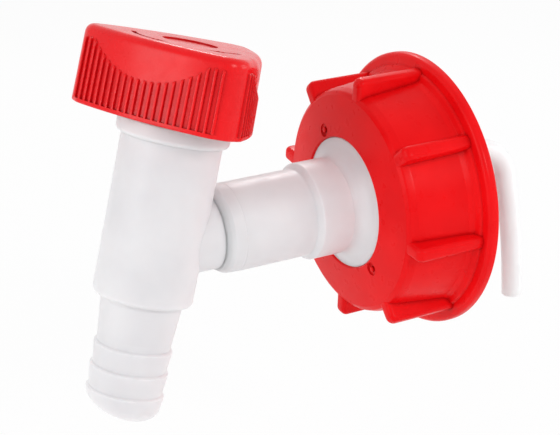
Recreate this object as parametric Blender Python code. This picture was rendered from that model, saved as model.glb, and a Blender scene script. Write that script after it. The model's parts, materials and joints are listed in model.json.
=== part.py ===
"""Jerrycan tap with an air tube: a cap nut for a wide canister neck, an inlet pipe, and a tap barrel with a
plug valve turned by a three-sided ribbed knob. The origin is where the gasket's outer face meets the axis of
the pipe and the nut, which is X and points into the canister. The shapes are drawn from the point where the
barrel's axis crosses X, and the barrel leans by BARREL_LEAN towards the nut at its top."""
import math

import bmesh
import bpy
from mathutils import Matrix, Vector

MM = 0.001

# Driving sizes in millimetres and degrees.
BARREL_LEAN = 15.7
RUNNING_GAP = 0.3

BARREL_RADIUS = 13.95
BARREL_FOOT = -15.4
BARREL_BORE_RADIUS = 10.2
BORE_FLOOR = -11.0
COLLAR_RADIUS = 15.6
COLLAR_LOW = 29.3
COLLAR_TOP = 34.0
NOZZLE_BORE_RADIUS = 7.6
NOZZLE_ROOT_RADIUS = 11.35
NOZZLE_NECK_RADIUS = 10.35
BARB_RADIUS = 11.05
BARB_FIRST = -29.2
BARB_PITCH = 6.5
BARB_COUNT = 3
TIP_DEPTH = -44.2
TIP_SLANT = 19.5

STUB_RADIUS = 10.7
STUB_BORE_RADIUS = 6.6
STUB_ROOT = 4.0
STUB_END = 25.0
SLEEVE_START = 17.2
SLEEVE_EDGE_RADIUS = 12.4
PIPE_RADIUS = 12.7
PIPE_BORE_RADIUS = 9.8
PIPE_COLLAR_RADIUS = 14.1
PIPE_COLLAR_START = 45.0
PIPE_COLLAR_END = 56.2

NUT_FRONT = 60.7
NUT_WEB = 3.4
NUT_BACK = 86.9
NUT_HOLE_RADIUS = 19.3
NUT_CAVITY_RADIUS = 31.1
NUT_SHOULDER_WALL = 2.2
NUT_ROOT_WALL = 3.9
NUT_EDGE_INSET = 1.8
NUT_FACE_SLOPE = 1.5
NUT_SHOULDER_LENGTH = 4.4
FLANGE_WIDTH = 9.7
FLANGE_THICKNESS = 3.3
FLANGE_ROUNDING = 1.5
THREAD_DEPTH_START = 8.0
THREAD_HEIGHT = 1.6
THREAD_PITCH = 4.5
THREAD_TURNS = 2.5
WING_COUNT = 8
WING_HEIGHT = 7.1
WING_PHASE = 10.0
WING_TOP_WIDTH = 3.6
WING_ROOT_WIDTH = 6.0
WING_START = 62.3
GATE_MARK_RADIUS = 22.0
GATE_MARK_ANGLES = (64.0, 228.0)
GATE_MARK_DEPTH = 0.9

CLAMP_CLEARANCE = 2.9
CLAMP_THICKNESS = 3.4
GASKET_WIDTH = 6.7
SPIGOT_LENGTH = 7.0
SPIGOT_WALL = 2.2
GASKET_THICKNESS = 2.5

VENT_TUBE_RADIUS = 3.15
VENT_TUBE_WALL = 1.0
VENT_HEIGHT = 8.0
VENT_DUCT_WALL = 1.1
VENT_SOCKET_DEPTH = 9.0
VENT_BEND_START = 108.65
VENT_BEND_RADIUS = 10.7
VENT_BEND_ANGLE = 80.0
VENT_LEG_LENGTH = 41.3
VENT_LEG_CURVE = 10.7

KNOB_LOW = 34.7
KNOB_TOP = 55.8
KNOB_LOBE = 21.9
KNOB_CORNER_RADIUS = 6.5
KNOB_SIDE_RADIUS = 70.0
KNOB_TURN = 31.8
KNOB_DRAFT = 0.5
KNOB_EDGE_RADIUS = 2.3
KNOB_WALL = 2.4
KNOB_ROOF = 2.4
KNOB_RIBS_PER_SIDE = 22
KNOB_RIB_HEIGHT = 0.65
KNOB_GROOVE_SHARE = 0.06
KNOB_LIP = 1.2
KNOB_DISC_RADIUS = 7.6
KNOB_MARK_DEPTH = 0.5
KNOB_HUB_RADIUS = 8.2
KNOB_ARROW_RADIUS = 15.2
KNOB_ARROWS = ((152.0, 53.0), (304.0, -27.0))
KNOB_ARROW_HEAD = 17.0
KNOB_ARROW_BAND = 1.4
KNOB_ARROW_BARB = 0.9

PLUG_PORT_RADIUS = 6.0
PLUG_BORE_RADIUS = 7.0
PLUG_BORE_TOP = 11.0
PLUG_HEAD_RADIUS = 12.6
PLUG_HEAD_LOW = 30.9
STEM_WIDTH = 9.0
STEM_TOP = 50.0
SEAL_SECTION_RADIUS = 0.8
SEAL_LOW = -8.2
SEAL_HIGH = 21.0
CUT_PAST = 5.0

# Colours, as linear red, green and blue.
SIGNAL_RED = (0.80, 0.012, 0.016)
MILKY_WHITE = (0.80, 0.79, 0.80)
CLEAR_WHITE = (0.82, 0.82, 0.82)
BLACK = (0.03, 0.03, 0.03)

# Mesh fineness.
ROUND_STEPS = 36
NUT_STEPS = 56

# Worked out from the sizes above.
LEAN = math.radians(BARREL_LEAN)
CLAMP_FACE = NUT_FRONT + NUT_WEB + RUNNING_GAP
CLAMP_BACK = CLAMP_FACE + CLAMP_THICKNESS
GASKET_FACE = CLAMP_BACK + RUNNING_GAP
NECK_SEAT = GASKET_FACE + GASKET_THICKNESS
PLUG_RADIUS = BARREL_BORE_RADIUS - RUNNING_GAP
VENT_SOCKET_RADIUS = VENT_TUBE_RADIUS + RUNNING_GAP
VENT_DUCT_RADIUS = VENT_SOCKET_RADIUS + VENT_DUCT_WALL
VENT_SOCKET_END = CLAMP_BACK + SPIGOT_LENGTH
COUNTERBORE_RADIUS = PLUG_HEAD_RADIUS + RUNNING_GAP
SEAL_STATIONS = (SEAL_LOW, SEAL_HIGH)
FLARE_MOUTH = NUT_HOLE_RADIUS - RUNNING_GAP
CAVITY_START = NUT_FRONT + NUT_WEB
NUT_SHOULDER_RADIUS = NUT_CAVITY_RADIUS + NUT_SHOULDER_WALL
NUT_ROOT_RADIUS = NUT_CAVITY_RADIUS + NUT_ROOT_WALL
NUT_EDGE_RADIUS = NUT_SHOULDER_RADIUS - NUT_EDGE_INSET
FLANGE_RADIUS = NUT_CAVITY_RADIUS + FLANGE_WIDTH
WING_TOP_RADIUS = NUT_CAVITY_RADIUS + WING_HEIGHT
CLAMP_RADIUS = NUT_CAVITY_RADIUS - CLAMP_CLEARANCE
SPIGOT_RADIUS = CLAMP_RADIUS - GASKET_WIDTH
FLANGE_FACE = NUT_BACK - FLANGE_THICKNESS


def material(name, colour, roughness):
    """A plastic or rubber material for the solid's own colour."""
    mat = bpy.data.materials.new(name)
    mat.use_nodes = True
    shader = mat.node_tree.nodes["Principled BSDF"]
    shader.inputs["Base Color"].default_value = (*colour, 1.0)
    shader.inputs["Roughness"].default_value = roughness
    shader.inputs["Metallic"].default_value = 0.0
    mat.diffuse_color = (*colour, 1.0)
    return mat


def place(name, bm, mat=None, parent=None, smooth=True):
    """Turns a bmesh in millimetres into an object in metres, on a parent or on the crossing point."""
    bmesh.ops.remove_doubles(bm, verts=bm.verts, dist=0.002)
    bmesh.ops.recalc_face_normals(bm, faces=bm.faces)
    bmesh.ops.scale(bm, verts=bm.verts, vec=(MM, MM, MM))
    for face in bm.faces:
        face.smooth = smooth
    mesh = bpy.data.meshes.new(name)
    bm.to_mesh(mesh)
    bm.free()
    obj = bpy.data.objects.new(name, mesh)
    bpy.context.collection.objects.link(obj)
    if mat:
        mesh.materials.append(mat)
    obj.parent = parent or bpy.data.objects["crossing"]
    return obj


def pivot(name, lean=0.0, station=0.0, lift=0.0, parent=None):
    """An empty on X that a piece is placed or turns by. Its Z axis leans towards +X by an angle."""
    empty = bpy.data.objects.new(name, None)
    empty.empty_display_size = 10 * MM
    empty.location = (station * MM, 0.0, lift * MM)
    empty.rotation_euler = (0.0, lean, 0.0)
    empty.parent = parent
    bpy.context.collection.objects.link(empty)
    return empty


def lathe(profile, axis="Z", steps=ROUND_STEPS):
    """Revolves a closed profile of (station, radius) points about X or Z."""
    bm = bmesh.new()
    if axis == "Z":
        verts = [bm.verts.new((radius, 0.0, station)) for station, radius in profile]
        turn_axis = (0.0, 0.0, 1.0)
    else:
        verts = [bm.verts.new((station, 0.0, radius)) for station, radius in profile]
        turn_axis = (1.0, 0.0, 0.0)
    edges = [bm.edges.new(pair) for pair in zip(verts, verts[1:])]
    if profile[0][1] > 0.0 and profile[-1][1] > 0.0:
        edges.append(bm.edges.new((verts[-1], verts[0])))
    bmesh.ops.spin(
        bm, geom=verts + edges, cent=(0, 0, 0), axis=turn_axis, angle=math.tau, steps=steps, use_merge=True
    )
    bmesh.ops.remove_doubles(bm, verts=bm.verts, dist=0.002)
    return bm


def cylinder(radius, start, end, axis="Z", steps=ROUND_STEPS, offset=(0.0, 0.0, 0.0)):
    """A capped cylinder between two stations on X or Z, moved by offset."""
    bm = lathe([(start, 0.0), (start, radius), (end, radius), (end, 0.0)], axis, steps)
    bmesh.ops.translate(bm, verts=bm.verts, vec=offset)
    return bm


def arc(centre_station, centre_radius, size, start, end, count):
    """Points of a round stretch of a profile. Angles in degrees, 0 along the station, 90 outwards."""
    points = []
    for i in range(count + 1):
        angle = math.radians(start + (end - start) * i / count)
        points.append((centre_station + size * math.cos(angle), centre_radius + size * math.sin(angle)))
    return points


def combine(target, other, operation):
    """Joins or cuts another object into the target and hides it from renders."""
    modifier = target.modifiers.new(f"{operation.lower()}_{other.name}", "BOOLEAN")
    modifier.operation = operation
    modifier.solver = "EXACT"
    modifier.object = other
    other.display_type = "WIRE"
    other.hide_render = True


def prism(outline, low, high):
    """Extrudes an outline of (x, y) points from one height to another."""
    bm = bmesh.new()
    face = bm.faces.new([bm.verts.new((x, y, low)) for x, y in outline])
    grown = bmesh.ops.extrude_face_region(bm, geom=[face])
    moved = [item for item in grown["geom"] if isinstance(item, bmesh.types.BMVert)]
    bmesh.ops.translate(bm, verts=moved, vec=(0.0, 0.0, high - low))
    return bm


def tap_body(mat, tilted):
    """Barrel, collar, hose nozzle with its barbs and the side stub, moulded as one piece."""
    outer = [(TIP_DEPTH - 2 * CUT_PAST, 0.0), (TIP_DEPTH - 2 * CUT_PAST, BARB_RADIUS)]
    for barb in reversed(range(BARB_COUNT)):
        edge = BARB_FIRST - barb * BARB_PITCH
        outer += [(edge, BARB_RADIUS), (edge + 0.5, NOZZLE_NECK_RADIUS)]
        if barb:
            outer.append((edge + 1.0, NOZZLE_NECK_RADIUS))
    outer += [(BARB_FIRST + 2.6, NOZZLE_NECK_RADIUS + 0.1), (BARREL_FOOT - 1.2, NOZZLE_ROOT_RADIUS)]
    outer += [(BARREL_FOOT, NOZZLE_ROOT_RADIUS + 0.3)]
    outer += arc(BARREL_FOOT + 1.4, BARREL_RADIUS - 1.4, 1.4, 180, 90, 4)
    outer += [(COLLAR_LOW - 0.2, BARREL_RADIUS), (COLLAR_LOW, BARREL_RADIUS + 0.2)]
    outer += arc(COLLAR_LOW + 1.5, COLLAR_RADIUS - 1.5, 1.5, 180, 90, 4)
    outer += [(COLLAR_TOP - 0.4, COLLAR_RADIUS), (COLLAR_TOP, COLLAR_RADIUS - 0.4), (COLLAR_TOP, 0.0)]
    body = place("tap_body", lathe(outer), mat, tilted)

    slab = bmesh.new()
    bmesh.ops.create_cube(slab, size=1.0, matrix=Matrix.Diagonal((60.0, 60.0, 20.0, 1.0)))
    bmesh.ops.translate(slab, verts=slab.verts, vec=(0.0, 0.0, -10.0))
    turn = Matrix.Rotation(math.radians(TIP_SLANT), 3, "X")
    bmesh.ops.rotate(slab, verts=slab.verts, cent=(0, 0, 0), matrix=turn)
    bmesh.ops.translate(slab, verts=slab.verts, vec=(0.0, 0.0, TIP_DEPTH))
    combine(body, place("tip_cut", slab, None, tilted, smooth=False), "DIFFERENCE")

    stub = cylinder(STUB_RADIUS, STUB_ROOT, STUB_END, "X")
    combine(body, place("stub_form", stub), "UNION")
    ledge = PLUG_HEAD_LOW - RUNNING_GAP
    bore = [(BORE_FLOOR, 0.0), (BORE_FLOOR, BARREL_BORE_RADIUS), (ledge - 0.6, BARREL_BORE_RADIUS)]
    bore += [(ledge, BARREL_BORE_RADIUS + 0.6), (ledge, COUNTERBORE_RADIUS)]
    bore += [(COLLAR_TOP + CUT_PAST, COUNTERBORE_RADIUS), (COLLAR_TOP + CUT_PAST, 0.0)]
    combine(body, place("barrel_bore_cut", lathe(bore), None, tilted), "DIFFERENCE")
    nozzle = cylinder(NOZZLE_BORE_RADIUS, TIP_DEPTH - 2 * CUT_PAST, BORE_FLOOR + CUT_PAST)
    combine(body, place("nozzle_bore_cut", nozzle, None, tilted), "DIFFERENCE")
    inlet = cylinder(STUB_BORE_RADIUS, 0.0, STUB_END + CUT_PAST, "X")
    combine(body, place("stub_bore_cut", inlet), "DIFFERENCE")
    return body


def inlet_adapter(mat, tilted):
    """Pipe with its sleeve end, ring collar, flare, clamping flange, spigot and air duct, in one piece.

    The sleeve's end is hollowed at its top, where the leaning barrel comes close."""
    bore = PIPE_BORE_RADIUS
    socket = STUB_RADIUS + RUNNING_GAP
    profile = [(SLEEVE_START, socket), (SLEEVE_START, socket + 0.25), (SLEEVE_START + 1.0, socket + 0.6)]
    profile += [(SLEEVE_START + 2.4, SLEEVE_EDGE_RADIUS), (SLEEVE_START + 5.4, PIPE_RADIUS)]
    profile += [(PIPE_COLLAR_START, PIPE_RADIUS), (PIPE_COLLAR_START + 1.4, PIPE_COLLAR_RADIUS - 0.15)]
    profile += [(PIPE_COLLAR_START + 1.9, PIPE_COLLAR_RADIUS), (PIPE_COLLAR_END - 0.6, PIPE_COLLAR_RADIUS)]
    profile += [(PIPE_COLLAR_END, PIPE_COLLAR_RADIUS - 0.5)]
    flare = NUT_FRONT - PIPE_COLLAR_END
    rise = FLARE_MOUTH - PIPE_COLLAR_RADIUS + 0.5
    for i in range(1, 7):
        angle = math.radians(90.0 * i / 6)
        station = PIPE_COLLAR_END + 0.4 + flare * math.sin(angle)
        profile.append((station, PIPE_COLLAR_RADIUS - 0.5 + rise * (1.0 - math.cos(angle))))
    profile += [(CLAMP_FACE, FLARE_MOUTH), (CLAMP_FACE, CLAMP_RADIUS - 0.4)]
    profile.append((CLAMP_FACE + 0.4, CLAMP_RADIUS))
    profile += [(CLAMP_BACK - 0.4, CLAMP_RADIUS), (CLAMP_BACK, CLAMP_RADIUS - 0.4)]
    profile += [(CLAMP_BACK, SPIGOT_RADIUS), (VENT_SOCKET_END - 1.0, SPIGOT_RADIUS)]
    profile += [(VENT_SOCKET_END, SPIGOT_RADIUS - 0.8), (VENT_SOCKET_END, SPIGOT_RADIUS - SPIGOT_WALL)]
    profile += [(CLAMP_BACK, SPIGOT_RADIUS - SPIGOT_WALL), (CLAMP_BACK, bore)]
    profile += [(STUB_END + RUNNING_GAP + 1.5, bore), (STUB_END + RUNNING_GAP, bore + 0.4)]
    profile += [(STUB_END + RUNNING_GAP, socket)]
    adapter = place("inlet_adapter", lathe(profile, "X"), mat)

    relief = cylinder(BARREL_RADIUS + RUNNING_GAP, BARREL_FOOT, COLLAR_LOW - 1.0)
    combine(adapter, place("barrel_relief_cut", relief, None, tilted), "DIFFERENCE")
    lift = (0.0, 0.0, VENT_HEIGHT)
    duct = cylinder(VENT_DUCT_RADIUS, STUB_END + 4.0, VENT_SOCKET_END + 1.5, "X", 24, lift)
    combine(adapter, place("duct_form", duct), "UNION")
    air = cylinder(VENT_TUBE_RADIUS - VENT_TUBE_WALL, STUB_END, VENT_SOCKET_END, "X", 20, lift)
    combine(adapter, place("air_cut", air), "DIFFERENCE")
    socket_start = VENT_SOCKET_END + 1.5 - VENT_SOCKET_DEPTH
    mouth = cylinder(VENT_SOCKET_RADIUS, socket_start, VENT_SOCKET_END + CUT_PAST, "X", 24, lift)
    combine(adapter, place("tube_socket_cut", mouth), "DIFFERENCE")
    return adapter


def wing(angle):
    """One grip wing of the nut: a tapered bar with a rounded nose that dies into the flange."""
    bm = bmesh.new()
    last = FLANGE_FACE + 1.0
    half_top = WING_TOP_WIDTH / 2
    half_root = WING_ROOT_WIDTH / 2
    rings = []
    for advance, fullness in ((0.0, 0.36), (0.35, 0.68), (1.0, 0.90), (2.4, 1.0), (last - WING_START, 1.0)):
        in_web = WING_START + advance < CAVITY_START
        foot = NUT_EDGE_RADIUS - 1.2 if in_web else NUT_CAVITY_RADIUS + 0.9
        wide = half_root * fullness
        crown = WING_TOP_RADIUS - 3.6 * (1.0 - fullness)
        ring = [(-wide, foot), (-wide * half_top / half_root, crown - 1.2), (-wide * 0.3, crown)]
        ring += [(-side, radius) for side, radius in reversed(ring)]
        rings.append([bm.verts.new((WING_START + advance, side, radius)) for side, radius in ring])
    for before, after in zip(rings, rings[1:]):
        for i in range(len(before)):
            j = (i + 1) % len(before)
            bm.faces.new((before[i], before[j], after[j], after[i]))
    bm.faces.new(rings[0])
    bm.faces.new(list(reversed(rings[-1])))
    turn = Matrix.Rotation(math.radians(angle - 90.0), 3, "X")
    bmesh.ops.rotate(bm, verts=bm.verts, cent=(0, 0, 0), matrix=turn)
    return bm


def thread_ridge():
    """The nut's inside thread: one ridge wound along the cavity, run out at both ends."""
    bm = bmesh.new()
    steps = int(THREAD_TURNS * 32)
    start = NUT_FRONT + THREAD_DEPTH_START + NUT_WEB
    root = NUT_CAVITY_RADIUS + 0.35
    rings = []
    for i in range(steps + 1):
        angle = math.tau * i / 32
        station = start + THREAD_PITCH * i / 32
        fade = min(1.0, i / 6, (steps - i) / 6)
        crest = NUT_CAVITY_RADIUS + 0.15 - THREAD_HEIGHT * fade
        ring = [(station - 1.25, root), (station - 0.4, crest)]
        ring += [(station + 0.4, crest), (station + 1.25, root)]
        rings.append(
            [bm.verts.new((along, r * math.cos(angle), r * math.sin(angle))) for along, r in ring]
        )
    for before, after in zip(rings, rings[1:]):
        for i in range(4):
            j = (i + 1) % 4
            bm.faces.new((before[i], before[j], after[j], after[i]))
    bm.faces.new(rings[0])
    bm.faces.new(list(reversed(rings[-1])))
    return bm


def cap_nut(mat, spin_pivot):
    """The coupling nut with its web, winged wall, rear flange and inside thread."""
    edge = NUT_FRONT + NUT_FACE_SLOPE
    profile = [(NUT_FRONT + 0.5, NUT_HOLE_RADIUS), (NUT_FRONT, NUT_HOLE_RADIUS + 0.4)]
    profile += [(edge - 0.2, NUT_EDGE_RADIUS - 1.3), (edge, NUT_EDGE_RADIUS - 0.5)]
    profile += [(edge + 0.5, NUT_EDGE_RADIUS + 0.3), (edge + 1.5, NUT_EDGE_RADIUS + 1.2)]
    profile += [(NUT_FRONT + NUT_SHOULDER_LENGTH, NUT_SHOULDER_RADIUS)]
    profile += [(FLANGE_FACE - 3.0, NUT_ROOT_RADIUS), (FLANGE_FACE - 1.4, NUT_ROOT_RADIUS + 0.5)]
    profile += [(FLANGE_FACE - 0.8, NUT_ROOT_RADIUS + 1.9), (FLANGE_FACE - 0.5, NUT_ROOT_RADIUS + 2.2)]
    profile += [(FLANGE_FACE, NUT_ROOT_RADIUS + 2.4)]
    profile += arc(FLANGE_FACE + FLANGE_ROUNDING, FLANGE_RADIUS - FLANGE_ROUNDING, FLANGE_ROUNDING, 180, 90, 3)
    profile += [(NUT_BACK - 0.6, FLANGE_RADIUS), (NUT_BACK, FLANGE_RADIUS - 0.6)]
    profile += [(NUT_BACK, NUT_CAVITY_RADIUS + 0.9), (NUT_BACK - 0.9, NUT_CAVITY_RADIUS)]
    profile += [(CAVITY_START + 0.8, NUT_CAVITY_RADIUS), (CAVITY_START, NUT_CAVITY_RADIUS - 0.8)]
    profile += [(CAVITY_START, NUT_HOLE_RADIUS)]
    nut = place("cap_nut", lathe(profile, "X", NUT_STEPS), mat, spin_pivot)

    wings = bmesh.new()
    for i in range(WING_COUNT):
        one = wing(WING_PHASE + 360.0 * i / WING_COUNT)
        piece = bpy.data.meshes.new("wing_part")
        one.to_mesh(piece)
        one.free()
        wings.from_mesh(piece)
        bpy.data.meshes.remove(piece)
    combine(nut, place("wings_form", wings), "UNION")
    combine(nut, place("thread_form", thread_ridge()), "UNION")
    for i, angle in enumerate(GATE_MARK_ANGLES):
        turn = math.radians(angle)
        spot = (0.0, GATE_MARK_RADIUS * math.cos(turn), GATE_MARK_RADIUS * math.sin(turn))
        bottom = NUT_FRONT + GATE_MARK_DEPTH
        above = NUT_FRONT - CUT_PAST
        dish = lathe([(above, 0.0), (above, 1.9), (bottom, 1.3), (bottom, 0.0)], "X", 16)
        bmesh.ops.translate(dish, verts=dish.verts, vec=spot)
        combine(nut, place(f"gate_dish_{i}", dish), "DIFFERENCE")
        pip = cylinder(0.7, NUT_FRONT + 0.1, bottom + 0.6, "X", 10, spot)
        combine(nut, place(f"gate_pip_{i}", pip), "UNION")
    return nut


def neck_gasket(mat):
    """Flat sealing ring between the adapter's flange and the canister's neck."""
    outer = CLAMP_RADIUS + 0.4
    inner = SPIGOT_RADIUS + 0.4
    profile = [(GASKET_FACE, inner), (GASKET_FACE, outer), (NECK_SEAT, outer), (NECK_SEAT, inner)]
    return place("neck_gasket", lathe(profile, "X"), mat)


def vent_tube(mat, tube_pivot):
    """Bent air tube that stands in the adapter's socket and reaches into the canister."""
    start = VENT_SOCKET_END + 1.5 - VENT_SOCKET_DEPTH + 0.6
    path = [Vector((along, 0, 0)) for along in (start, VENT_SOCKET_END + 1.5, VENT_BEND_START - 6.0)]
    for i in range(9):
        angle = math.radians(VENT_BEND_ANGLE * i / 8)
        out = Vector((math.sin(angle), 0, math.cos(angle) - 1.0))
        path.append(Vector((VENT_BEND_START, 0, 0)) + VENT_BEND_RADIUS * out)
    for i in range(6):
        angle = math.radians(VENT_BEND_ANGLE + VENT_LEG_CURVE * (i + 0.5) / 6)
        path.append(path[-1] + Vector((math.cos(angle), 0, -math.sin(angle))) * VENT_LEG_LENGTH / 6)
    path.append(path[-1] + (path[-1] - path[-2]).normalized() * 0.5)
    steps = 16
    bm = bmesh.new()
    skins = []
    for radius, tip in ((VENT_TUBE_RADIUS, 0.35), (VENT_TUBE_RADIUS - VENT_TUBE_WALL, -0.1)):
        rings = []
        for i, point in enumerate(path):
            ahead = path[min(i + 1, len(path) - 1)] - path[max(i - 1, 0)]
            side = Vector((0, 1, 0))
            up = ahead.normalized().cross(side)
            size = radius - (tip if i in (0, len(path) - 1) else 0.0)
            ring = []
            for k in range(steps):
                angle = math.tau * k / steps
                ring.append(bm.verts.new(point + size * (math.cos(angle) * side + math.sin(angle) * up)))
            rings.append(ring)
        for before, after in zip(rings, rings[1:]):
            for k in range(steps):
                m = (k + 1) % steps
                bm.faces.new((before[k], before[m], after[m], after[k]))
        skins.append(rings)
    outer, inner = skins
    for end in (0, -1):
        for k in range(steps):
            m = (k + 1) % steps
            bm.faces.new((outer[end][k], outer[end][m], inner[end][m], inner[end][k]))
    return place("vent_tube", bm, mat, tube_pivot)


def knob_outline(offset, side_cells, corner_cells):
    """Points, normals and side fractions of the rounded triangle, offset outwards.

    A point's fraction is from 0 to 1 along a curved side, and None on a corner."""
    half_span = KNOB_LOBE * math.sqrt(3.0) / 2
    depth = math.sqrt((KNOB_SIDE_RADIUS - KNOB_CORNER_RADIUS) ** 2 - half_span**2)
    half_angle = math.atan2(half_span, depth)
    centre = KNOB_LOBE / 2 - depth
    points = []
    for k in range(3):
        facing = math.radians(KNOB_TURN + 60.0 + 120.0 * k)
        middle = Vector((math.cos(facing), math.sin(facing))) * centre
        for fraction in side_cells:
            angle = facing + half_angle * (2.0 * fraction - 1.0)
            normal = Vector((math.cos(angle), math.sin(angle)))
            points.append((middle + normal * (KNOB_SIDE_RADIUS + offset), normal, fraction))
        corner_dir = facing + math.pi / 3
        corner = Vector((math.cos(corner_dir), math.sin(corner_dir))) * KNOB_LOBE
        first = facing + half_angle
        last = facing + math.tau / 3 - half_angle
        for i in range(1, corner_cells):
            angle = first + (last - first) * i / corner_cells
            normal = Vector((math.cos(angle), math.sin(angle)))
            points.append((corner + normal * (KNOB_CORNER_RADIUS + offset), normal, None))
    return points


def rib_rise(fraction):
    """How far the surface stands out on a rib at a share of a side. The corners have no ribs."""
    if fraction is None:
        return 0.0
    share = fraction * KNOB_RIBS_PER_SIDE % 1.0
    return KNOB_RIB_HEIGHT if share > 2 * KNOB_GROOVE_SHARE else 0.0


def rib_arch(fraction):
    """Height of the rib tops along a side: tall beside the corners and low in the middle."""
    span = 1.0 if fraction is None else abs(2.0 * fraction - 1.0)
    low = KNOB_LOW + (KNOB_TOP - KNOB_LOW) * 0.50
    high = KNOB_TOP - KNOB_EDGE_RADIUS - 0.9
    return low + (high - low) * min(1.0, (span / 0.86) ** 2.2)


def knob(mat, turned):
    """Hollow three-sided knob with ribbed sides, a rounded top edge and turning arrows on its top."""
    cells = []
    for i in range(KNOB_RIBS_PER_SIDE):
        cells += [(i + share) / KNOB_RIBS_PER_SIDE for share in (KNOB_GROOVE_SHARE, 0.36, 0.70)]
    ring_points = knob_outline(0.0, cells, 8)
    height = KNOB_TOP - KNOB_LOW
    rise_end = KNOB_TOP - KNOB_EDGE_RADIUS
    rows = []
    for point, normal, fraction in ring_points:
        crown = rib_arch(fraction)
        up = rib_rise(fraction)
        lip = 0.0 if fraction is None else KNOB_RIB_HEIGHT
        stations = [(KNOB_LOW, lip - 0.4), (KNOB_LOW + 0.4, lip), (KNOB_LOW + KNOB_LIP - 0.3, lip)]
        stations += [(KNOB_LOW + KNOB_LIP, up), (crown - 0.7, up), (crown, 0.0), (rise_end, 0.0)]
        column = []
        for station, rise in stations:
            draft = KNOB_DRAFT * (station - KNOB_LOW) / height
            column.append((station, rise - draft))
        for turn in (30.0, 60.0, 90.0):
            angle = math.radians(turn)
            station = rise_end + KNOB_EDGE_RADIUS * math.sin(angle)
            inset = KNOB_EDGE_RADIUS * (1.0 - math.cos(angle))
            column.append((station, -inset - KNOB_DRAFT))
        rows.append([(point + normal * rise, station) for station, rise in column])
    bm = bmesh.new()
    grid = [[bm.verts.new((spot.x, spot.y, station)) for spot, station in column] for column in rows]
    count = len(grid)
    for i in range(count):
        before = grid[i]
        after = grid[(i + 1) % count]
        for k in range(len(before) - 1):
            bm.faces.new((before[k], after[k], after[k + 1], before[k + 1]))
    bm.faces.new([column[-1] for column in grid])
    bm.faces.new([column[0] for column in reversed(grid)])
    body = place("knob", bm, mat, turned)

    inside = knob_outline(-KNOB_WALL, [0.05, 0.2, 0.35, 0.5, 0.65, 0.8, 0.95], 5)
    pocket = prism([(p.x, p.y) for p, _, _ in inside], KNOB_LOW - CUT_PAST, KNOB_TOP - KNOB_ROOF - 1.0)
    combine(body, place("knob_pocket_cut", pocket, None, turned), "DIFFERENCE")
    hub_low = COLLAR_TOP + 1.0
    hub = cylinder(KNOB_HUB_RADIUS, hub_low, KNOB_TOP - KNOB_ROOF, steps=28)
    combine(body, place("knob_hub_form", hub, None, turned), "UNION")
    half = STEM_WIDTH / 2 + RUNNING_GAP
    square = [(-half, -half), (half, -half), (half, half), (-half, half)]
    socket = prism(square, hub_low - CUT_PAST, STEM_TOP + RUNNING_GAP)
    combine(body, place("knob_socket_cut", socket, None, turned), "DIFFERENCE")
    disc = cylinder(KNOB_DISC_RADIUS, KNOB_TOP - KNOB_MARK_DEPTH, KNOB_TOP + CUT_PAST, steps=36)
    combine(body, place("knob_disc_cut", disc, None, turned), "DIFFERENCE")
    for i, (start, sweep) in enumerate(KNOB_ARROWS):
        arrow = prism(arrow_outline(start, sweep), KNOB_TOP - KNOB_MARK_DEPTH, KNOB_TOP + CUT_PAST)
        combine(body, place(f"knob_arrow_cut_{i}", arrow, None, turned), "DIFFERENCE")
    return body


def arrow_outline(start, sweep):
    """A curved arrow about the knob's centre: a band swept from a start angle, and a pointed head."""
    inner = KNOB_ARROW_RADIUS - KNOB_ARROW_BAND / 2
    outer = KNOB_ARROW_RADIUS + KNOB_ARROW_BAND / 2
    angles = [math.radians(start + sweep * i / 6) for i in range(7)]
    points = [(inner * math.cos(a), inner * math.sin(a)) for a in angles]
    head = angles[-1]
    tip = head + math.copysign(math.radians(KNOB_ARROW_HEAD), sweep)
    ends = [(inner - KNOB_ARROW_BARB, head), (KNOB_ARROW_RADIUS, tip), (outer + KNOB_ARROW_BARB, head)]
    points += [(r * math.cos(a), r * math.sin(a)) for r, a in ends]
    points += [(outer * math.cos(a), outer * math.sin(a)) for a in reversed(angles)]
    return points


def plug(mat, turned):
    """The turning valve plug: hollow foot with a side port, two seal grooves, a head and a square stem."""
    groove = PLUG_RADIUS - 2 * SEAL_SECTION_RADIUS - RUNNING_GAP
    low = BORE_FLOOR + RUNNING_GAP
    profile = [(low, PLUG_BORE_RADIUS), (low, PLUG_RADIUS - 0.4), (low + 0.4, PLUG_RADIUS)]
    for station in SEAL_STATIONS:
        half = SEAL_SECTION_RADIUS + 0.3
        profile += [(station - half, PLUG_RADIUS), (station - half, groove)]
        profile += [(station + half, groove), (station + half, PLUG_RADIUS)]
    profile += [(PLUG_HEAD_LOW - 1.2, PLUG_RADIUS), (PLUG_HEAD_LOW, PLUG_RADIUS + 0.4)]
    profile += [(PLUG_HEAD_LOW, PLUG_HEAD_RADIUS), (COLLAR_TOP, PLUG_HEAD_RADIUS)]
    profile += [(COLLAR_TOP + 0.5, PLUG_HEAD_RADIUS - 0.5), (COLLAR_TOP + 0.5, 0.0)]
    outer = [(low, 0.0)] + profile[1:]
    body = place("plug", lathe(outer), mat, turned)
    half = STEM_WIDTH / 2
    square = [(-half, -half), (half, -half), (half, half), (-half, half)]
    stem = prism(square, COLLAR_TOP - 1.0, STEM_TOP)
    combine(body, place("stem_form", stem, None, turned), "UNION")
    hollow = cylinder(PLUG_BORE_RADIUS, low - CUT_PAST, PLUG_BORE_TOP)
    combine(body, place("plug_hollow_cut", hollow, None, turned), "DIFFERENCE")
    port = cylinder(PLUG_PORT_RADIUS, 0.0, PLUG_RADIUS + CUT_PAST, "X", 28)
    quarter = Matrix.Rotation(math.radians(-90.0), 3, "Z")
    bmesh.ops.rotate(port, verts=port.verts, cent=(0, 0, 0), matrix=quarter)
    combine(body, place("plug_port_cut", port, None, turned), "DIFFERENCE")
    return body


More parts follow.
